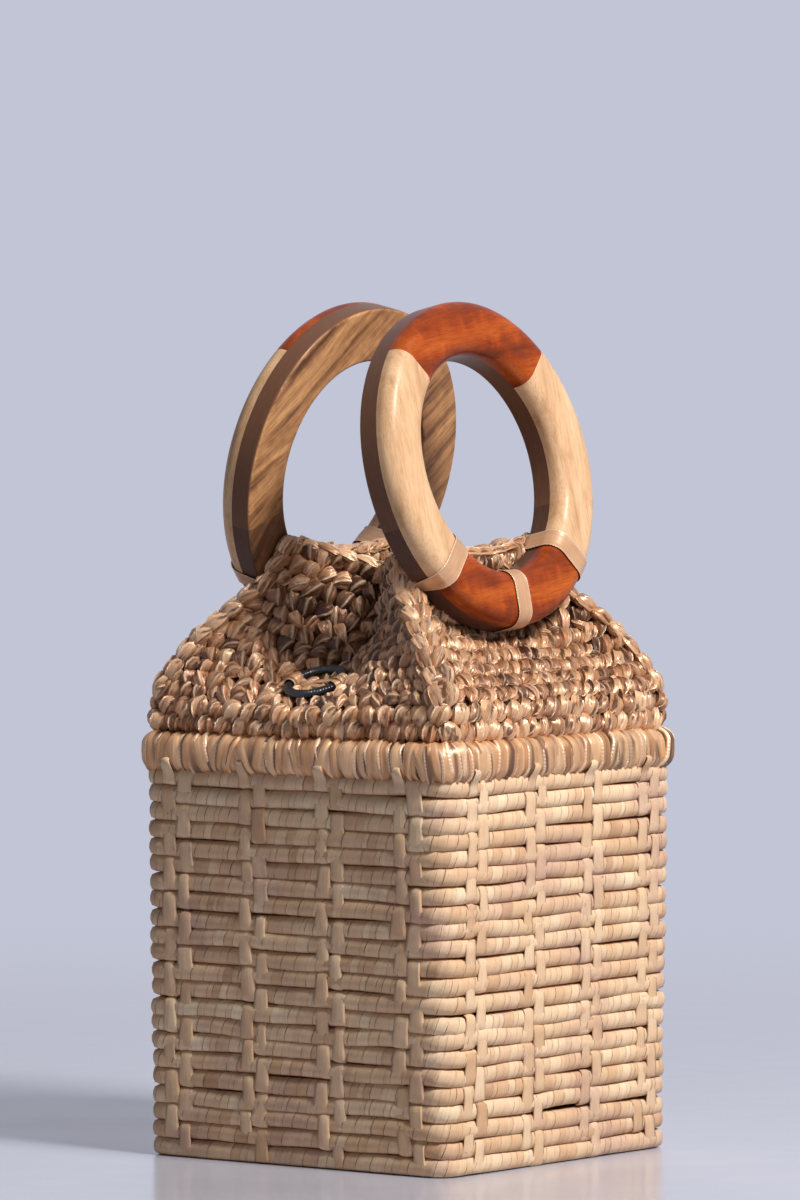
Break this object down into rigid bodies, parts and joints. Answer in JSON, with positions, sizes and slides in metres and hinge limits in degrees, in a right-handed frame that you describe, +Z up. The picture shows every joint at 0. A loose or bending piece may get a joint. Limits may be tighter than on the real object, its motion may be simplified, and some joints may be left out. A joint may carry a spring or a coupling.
{
  "type": "basket box bag",
  "caption": "Square coiled straw basket bag with a ribbon-bound rim, a crocheted ribbon hood folded in at the sides, laminated wooden ring handles and side strap rings.",
  "frame": {"origin": "under the middle of the basket's base, on the surface that it stands on", "axes": "+Z up, ring handles facing -Y (front) and +Y (back), gussets and strap rings on -X and +X"},
  "size_m": [0.1814, 0.1814, 0.3866],
  "materials": {
    "straw": "matte",
    "ribbon": "satin",
    "crochet": "satin",
    "pale_wood": "satin",
    "red_wood": "satin",
    "dark_wood": "satin",
    "black_cord": "gloss"
  },
  "bodies": {
    "root": {"basket": "straw", "rim_binding": "ribbon", "hood": "crochet", "front_ring_top": "red_wood", "front_ring_left": "pale_wood", "front_ring_bottom": "red_wood", "front_ring_right": "pale_wood", "front_ring_back_upper": "dark_wood", "front_ring_back_lower": "dark_wood", "back_ring_top": "red_wood", "back_ring_left": "pale_wood", "back_ring_bottom": "red_wood", "back_ring_right": "pale_wood", "back_ring_back_upper": "dark_wood", "back_ring_back_lower": "dark_wood", "front_tie_left": "ribbon", "front_tie_middle": "ribbon", "front_tie_right": "ribbon", "back_tie_left": "ribbon", "back_tie_middle": "ribbon", "back_tie_right": "ribbon", "left_strap_ring": "black_cord", "left_strap_lashing": "ribbon", "right_strap_ring": "black_cord", "right_strap_lashing": "ribbon"}
  },
  "joints": []
}
